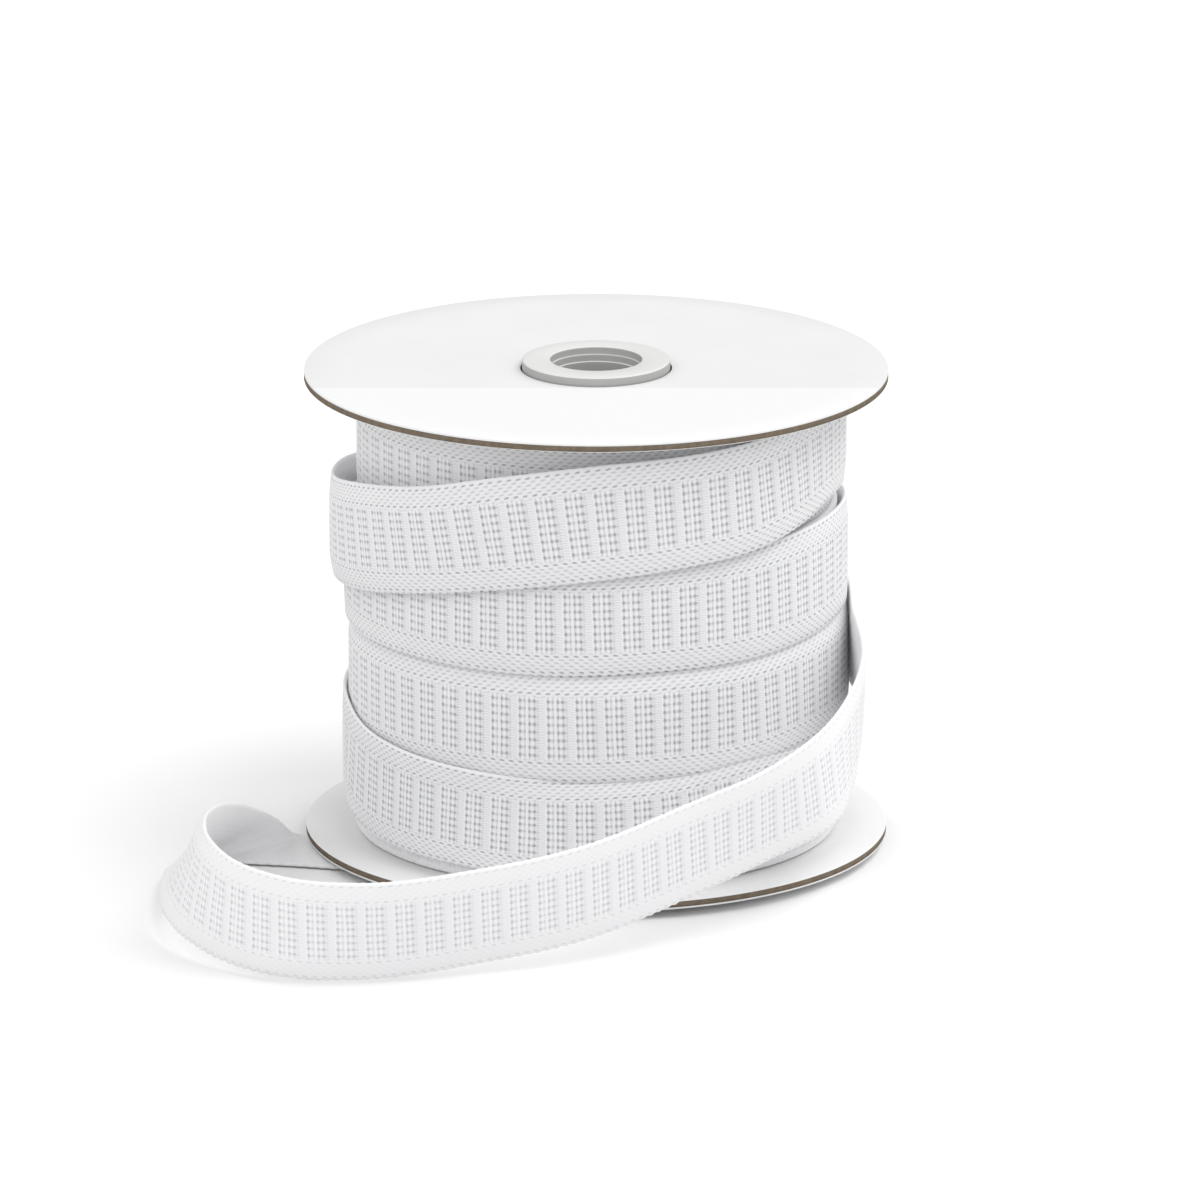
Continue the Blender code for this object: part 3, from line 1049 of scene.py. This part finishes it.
@dataclass
class StrapLength:
    """One length of the strap, as its own piece."""

    name: str
    line: np.ndarray
    travelled: np.ndarray
    finish: bpy.types.Material
    held: Held
    rests_on: tuple
    closed: bool = False
    # How far from an edge its tuck reaches (mm), and the relief's loss where the strap is slack.
    tuck_reach: float = 5.0
    slack_loss: float = 0.45

    def sections(self) -> np.ndarray:
        """Places of every section's points.

        Returns:
            An array of sections by points by three.
        """
        section = StrapSection()
        low = self.line[:, 0:3]
        high = self.line[:, 3:6]
        middle = 0.5 * (low + high)
        if self.closed:
            travel = np.roll(middle, -3, axis=0) - np.roll(middle, 3, axis=0)
        else:
            before = 2 * middle[:1] - middle[3:0:-1]
            after = 2 * middle[-1:] - middle[-2:-5:-1]
            padded = np.vstack([before, middle, after])
            travel = padded[6:] - padded[:-6]
        travel = travel / np.linalg.norm(travel, axis=1)[:, None]
        across = high - low
        width = np.linalg.norm(across, axis=1)
        across = across / width[:, None]
        outward = np.cross(across, travel)
        outward = outward / np.linalg.norm(outward, axis=1)[:, None]
        share = section.across / STRAP_WIDTH
        shift = share[None, :] * width[:, None] + section.serration(self.travelled)
        eased = 1.0 - self.slack_loss * self.line[:, 8:9]
        rise = section.body()[None, :] + section.relief(self.travelled) * eased
        from_low = np.clip((0.5 + share) * STRAP_WIDTH / self.tuck_reach, 0.0, 1.0)
        from_high = np.clip((0.5 - share) * STRAP_WIDTH / self.tuck_reach, 0.0, 1.0)
        rise = rise + self.line[:, 6:7] * ((1.0 - from_low) ** 2)[None, :]
        rise = rise + self.line[:, 7:8] * ((1.0 - from_high) ** 2)[None, :]
        points = middle[:, None, :] + shift[:, :, None] * across[:, None, :]
        points = points + rise[:, :, None] * outward[:, None, :]
        points[:, :, 2] = np.maximum(points[:, :, 2], 0.0)
        return points

    def build(self) -> bpy.types.Object:
        """Bends a flat grid into the strap's closed sleeve and maps it in millimetres.

        Returns:
            The strap's piece.
        """
        section = StrapSection()
        points = self.sections()
        travelled = self.travelled
        if self.closed:
            points = np.concatenate([points, points[:1]])
            travelled = np.append(travelled, travelled[-1] + SAMPLE)
        count = len(points)
        ring = len(section.across)
        mesh = bmesh.new()
        mesh.loops.layers.uv.new("strap")
        bmesh.ops.create_grid(
            mesh, x_segments=count - 1, y_segments=ring, size=0.5, calc_uvs=True
        )
        wrapped = np.concatenate([points, points[:, :1]], axis=1).transpose(1, 0, 2)
        outer = np.append(section.outer, 1.0)
        marker = mesh.verts.layers.float.new("outer_face")
        looseness = mesh.verts.layers.float.new("slack")
        faces = np.repeat(outer, count)
        slack = np.tile(np.append(self.line[:, 8], self.line[:1, 8])[:count], len(outer))
        for vertex, place, face, loose in zip(mesh.verts, wrapped.reshape(-1, 3), faces, slack):
            vertex.co = place
            vertex[marker] = face
            vertex[looseness] = loose
        self.map_in_millimetres(mesh, travelled, section)
        bmesh.ops.remove_doubles(mesh, verts=mesh.verts, dist=MERGE_DISTANCE)
        open_edges = [edge for edge in mesh.edges if edge.is_boundary]
        if open_edges:
            bmesh.ops.holes_fill(mesh, edges=open_edges, sides=0)
            for edge in open_edges:
                edge.smooth = False
        piece = link_piece(self.name, mesh, [self.finish])
        piece.data.shade_smooth()
        return piece

    @staticmethod
    def map_in_millimetres(
        mesh: bmesh.types.BMesh, travelled: np.ndarray, section: StrapSection
    ) -> None:
        """Stretches the grid's map so that it reads millimetres along and across.

        Args:
            mesh: The bent grid.
            travelled: Length along the strap at each section.
            section: The strap's section.
        """
        layer = mesh.loops.layers.uv["strap"]
        across = np.append(section.across, section.across[0])
        columns = len(travelled) - 1
        rows = len(across) - 1
        for face in mesh.faces:
            for loop in face.loops:
                spot = loop[layer].uv
                along = float(travelled[round(spot.x * columns)])
                loop[layer].uv = (along, float(across[round(spot.y * rows)]))


@dataclass
class WoundElastic:
    """The elastic on the spool: core, older turn, three turns, and the last with the free end."""

    finish: bpy.types.Material
    route: Route
    bore: float = 14.0
    core_radius: float = 42.0
    core_steps: int = 144
    crease: float = 40.0

    def build_core(self) -> bpy.types.Object:
        """The turns further in, which show a little above, below and between the straps.

        Returns:
            The core.
        """
        floor = BOTTOM_FACE + HOLE_CLEARANCE
        roof = TOP_FACE - HOLE_CLEARANCE
        outline = [
            (self.bore, floor),
            (41.8, floor),
            (42.1, floor + 0.4),
            (42.1, 5.6),
            (41.7, 6.2),
            (41.5, 30.0),
            (41.5, 58.0),
            (42.0, 60.0),
            (42.0, 61.9),
            (41.8, 62.2),
            (40.3, 62.2),
            (40.3, roof),
            (self.bore, roof),
        ]
        mesh = turned_mesh(outline, self.core_steps)
        layer = mesh.loops.layers.uv.new("strap")
        marker = mesh.verts.layers.float.new("outer_face")
        for vertex in mesh.verts:
            vertex[marker] = 0.0
        for face in mesh.faces:
            for loop in face.loops:
                place = loop.vert.co
                turn = math.atan2(place.y, place.x) * self.core_radius
                loop[layer].uv = (turn, (place.z % STRAP_WIDTH) - 0.5 * STRAP_WIDTH)
        core = link_piece("wound_core", mesh, [self.finish])
        soften(core, self.crease)
        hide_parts("roll")
        return core

    def old_turn(self) -> bpy.types.Object:
        """The closed older turn that shows above the last one.

        Returns:
            The piece.
        """
        samples = round(2.0 * math.pi * OLD_RADIUS / REPEAT) * SAMPLES_PER_REPEAT
        angles = np.radians(180.0 - 360.0 * np.arange(samples) / samples)
        x = OLD_RADIUS * np.sin(angles)
        y = -OLD_RADIUS * np.cos(angles)
        none = np.zeros(samples)
        low = none + OLD_LOW_EDGE
        high = none + OLD_HIGH_EDGE
        line = np.column_stack([x, y, low, x, y, high, none, none, none])
        travelled = SAMPLE * (np.arange(samples) + 0.5)
        return StrapLength(
            "old_turn", line, travelled, self.finish, Held.WOUND, ("wound_core",), closed=True
        ).build()

    def build(self) -> None:
        """Builds the core, the turns and the free end in the order in which they were wound."""
        self.build_core()
        self.old_turn()
        route = self.route
        ends = (0, *route.marks, len(route.travelled) - 1)
        names = ("low_turn", "middle_turn", "upper_turn", "free_end")
        for name, start, end in zip(names, ends, ends[1:]):
            held, rests_on = Held.WOUND, ("wound_core",)
            if name == "free_end":
                held, rests_on = Held.FREE, ("old_turn", "upper_turn", "floor")
            span = slice(start, end + 1)
            length = StrapLength(
                name, route.line[span], route.travelled[span], self.finish, held, rests_on
            )
            piece = length.build()
        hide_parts("loose_end")


@dataclass(frozen=True)
class Lamp:
    """A far lamp: its strength, its width in degrees and the direction from the spool to it."""

    name: str
    energy: float
    width: float
    towards: tuple

    def build(self) -> None:
        """Adds the lamp; its width softens its shadows."""
        light = bpy.data.lights.new(self.name, "SUN")
        light.energy = self.energy
        light.angle = math.radians(self.width)
        sun = bpy.data.objects.new(self.name, light)
        sun.rotation_euler = Vector(self.towards).to_track_quat("Z", "Y").to_euler()
        bpy.context.scene.collection.objects.link(sun)


@dataclass
class Studio:
    """White sweep, soft light and the camera (its distance in metres)."""

    lamps: tuple = (
        Lamp("upper_right_lamp", 0.95, 35.0, (0.42, -0.20, 0.88)),
        Lamp("right_window", 0.38, 45.0, (0.80, -0.20, 0.50)),
        Lamp("rear_right_lamp", 0.72, 35.0, (0.60, 0.50, 0.62)),
        Lamp("front_lamp", 0.60, 45.0, (0.10, -0.85, 0.50)),
        Lamp("left_window", 0.78, 45.0, (-0.77, -0.42, 0.47)),
        Lamp("rear_left_lamp", 0.31, 20.0, (-0.50, 0.40, 0.77)),
    )
    distance: float = 2.6477
    elevation: float = 15.844
    aim_height: float = 43.1
    aim_right: float = 0.67
    lens: float = 455.0
    sensor: float = 36.0
    near: float = 0.05
    far: float = 60.0
    sky: float = 0.47
    floor_half: float = 12.0
    floor_seen: float = 0.93
    floor_bounced: float = 0.72

    def build_floor(self) -> None:
        """A white floor, far wider than the view: lighter as it is seen than as it lights the rest."""
        mesh = bmesh.new()
        bmesh.ops.create_grid(mesh, x_segments=1, y_segments=1, size=self.floor_half)
        data = bpy.data.meshes.new("floor")
        mesh.to_mesh(data)
        mesh.free()
        material = bpy.data.materials.new("white_sweep")
        material.use_nodes = True
        tree = material.node_tree
        tree.nodes.remove(tree.nodes["Principled BSDF"])
        seen = self.diffuse(tree, self.floor_seen)
        bounced = self.diffuse(tree, self.floor_bounced)
        path = tree.nodes.new("ShaderNodeLightPath")
        mix = tree.nodes.new("ShaderNodeMixShader")
        tree.links.new(path.outputs["Is Camera Ray"], mix.inputs[0])
        tree.links.new(bounced, mix.inputs[1])
        tree.links.new(seen, mix.inputs[2])
        tree.links.new(mix.outputs[0], tree.nodes["Material Output"].inputs["Surface"])
        data.materials.append(material)
        floor = bpy.data.objects.new("floor", data)
        bpy.context.scene.collection.objects.link(floor)

    @staticmethod
    def diffuse(tree: bpy.types.NodeTree, grey: float) -> bpy.types.NodeSocket:
        """Adds a plain matte shader.

        Args:
            tree: The floor's node tree.
            grey: How light it is.

        Returns:
            The shader's socket.
        """
        node = tree.nodes.new("ShaderNodeBsdfDiffuse")
        node.inputs["Color"].default_value = (grey, grey, grey, 1.0)
        return node.outputs["BSDF"]

    def build_sky(self) -> None:
        """An even white sky."""
        world = bpy.data.worlds.new("studio")
        world.use_nodes = True
        background = world.node_tree.nodes["Background"]
        background.inputs["Color"].default_value = (1.0, 1.0, 1.0, 1.0)
        background.inputs["Strength"].default_value = self.sky
        bpy.context.scene.world = world

    def build_camera(self) -> None:
        """A long lens from the front, a little above."""
        data = bpy.data.cameras.new("camera")
        data.lens = self.lens
        data.sensor_width = self.sensor
        data.clip_start = self.near
        data.clip_end = self.far
        camera = bpy.data.objects.new("camera", data)
        angle = math.radians(self.elevation)
        back = Vector((0.0, -math.cos(angle), math.sin(angle)))
        aim = Vector((SPOOL_X + self.aim_right, SPOOL_Y, self.aim_height)) * MM
        camera.location = aim + back * self.distance
        camera.rotation_euler = back.to_track_quat("Z", "Y").to_euler()
        bpy.context.scene.collection.objects.link(camera)
        bpy.context.scene.camera = camera

    def build(self) -> None:
        """Sets the stage."""
        self.build_floor()
        self.build_sky()
        for lamp in self.lamps:
            lamp.build()
        self.build_camera()
        bpy.context.scene.view_settings.view_transform = "Standard"


def build_spool() -> None:
    """Builds the hub and the flanges with their finishes."""
    paper = PrintedPaper(
        "coated_paper", (0.775, 0.775, 0.775), (0.76, 0.76, 0.76), 0.5, 0.35, 60.0, 0.004
    ).make()
    liner = Finish(
        "white_liner", (0.86, 0.86, 0.86), (0.845, 0.845, 0.845), 0.6, 0.3, 60.0, 0.005
    ).make()
    board = Finish(
        "brown_board", (0.21, 0.17, 0.125), (0.16, 0.13, 0.095), 0.9, 0.1, 700.0, 0.05
    ).make()
    plastic = Finish(
        "moulded_plastic", (0.72, 0.72, 0.705), (0.70, 0.70, 0.685), 0.4, 0.4, 40.0, 0.002
    ).make()
    # The hub's plastic made darker for its upright walls and bore: painted shade.
    wall = Finish(
        "moulded_plastic_painted_shade", (0.41, 0.41, 0.40), (0.39, 0.39, 0.38), 0.5, 0.3, 40.0, 0.002
    ).make()
    Hub([plastic, wall]).build()
    Flange(Side.BOTTOM, COLLAR_PROUD, [liner, board, liner]).build()
    Flange(Side.TOP, TOP_FACE, [paper, board, liner]).build()


def main() -> None:
    """Builds the spool, the elastic and the studio, in that order."""
    logging.basicConfig(level=logging.INFO, format="%(message)s")
    build_spool()
    WoundElastic(BraidedElastic().make(), Route()).build()
    Studio().build()


if __name__ == "__main__":
    main()
